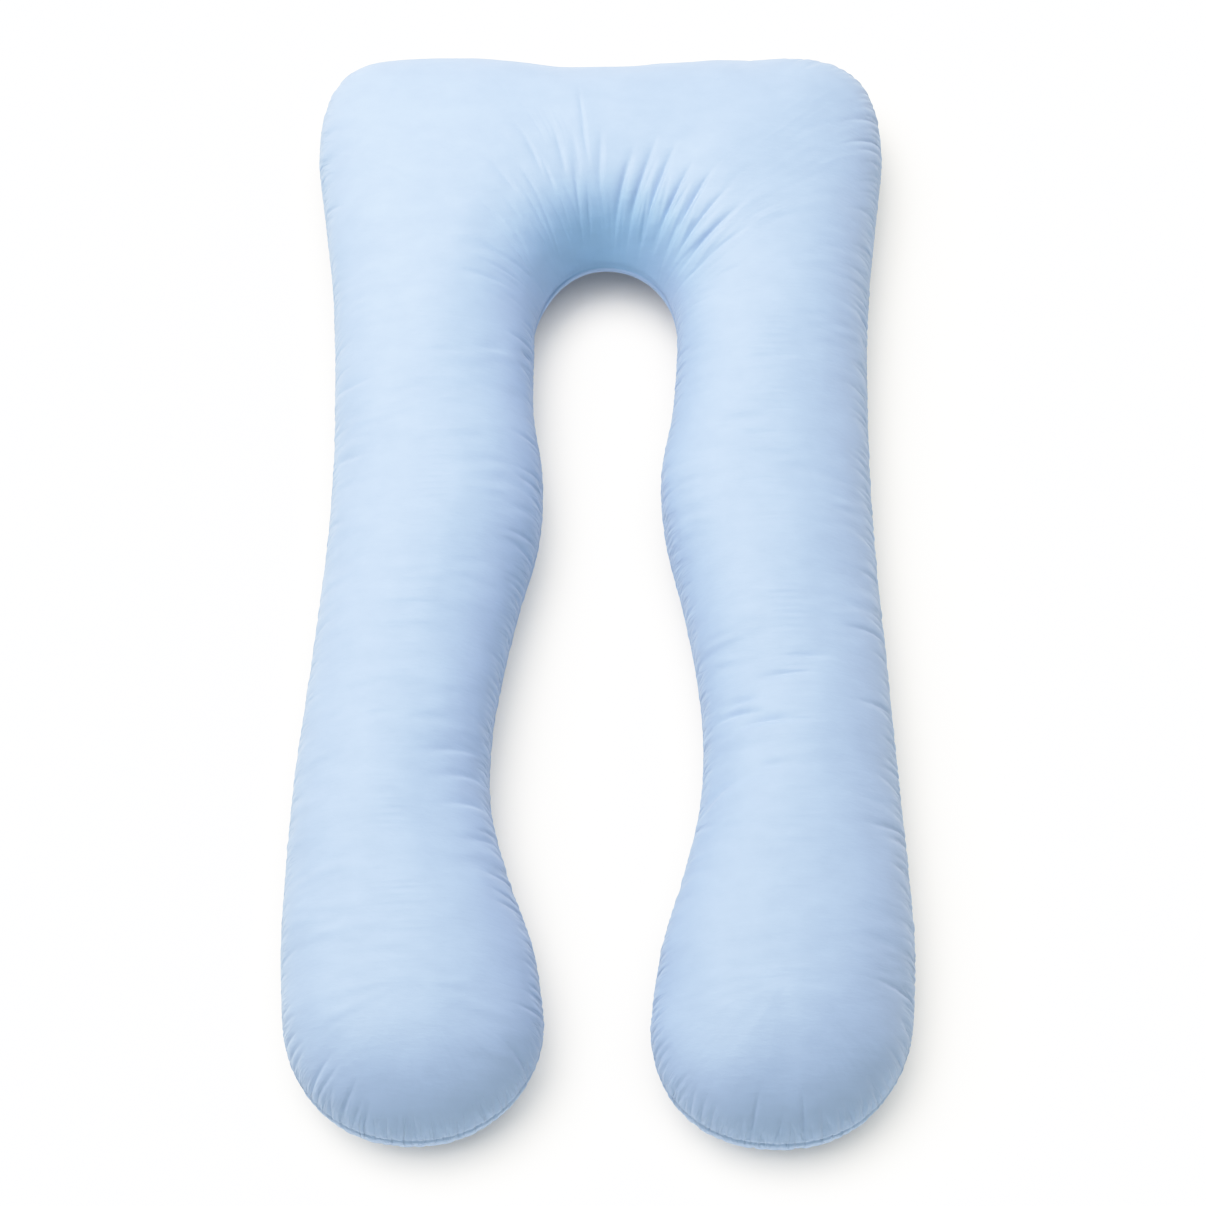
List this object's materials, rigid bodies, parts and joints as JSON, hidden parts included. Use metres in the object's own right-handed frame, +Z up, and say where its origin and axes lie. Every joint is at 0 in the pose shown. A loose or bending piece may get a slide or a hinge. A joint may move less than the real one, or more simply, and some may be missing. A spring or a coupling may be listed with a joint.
{
  "type": "u-shaped body pillow",
  "caption": "U-shaped body pillow: one long filled cushion with a broad head and full-length limbs, for a side sleeper to lie between.",
  "frame": {"origin": "middle of the bounding box, on the surface that the underside rests on", "axes": "+Y from the feet of the limbs to the head, +X across to the right seen from above, +Z up"},
  "size_m": [0.804, 1.6466, 0.206],
  "materials": {
    "cover": "satin"
  },
  "bodies": {
    "root": {"pillow": "cover"}
  },
  "joints": []
}
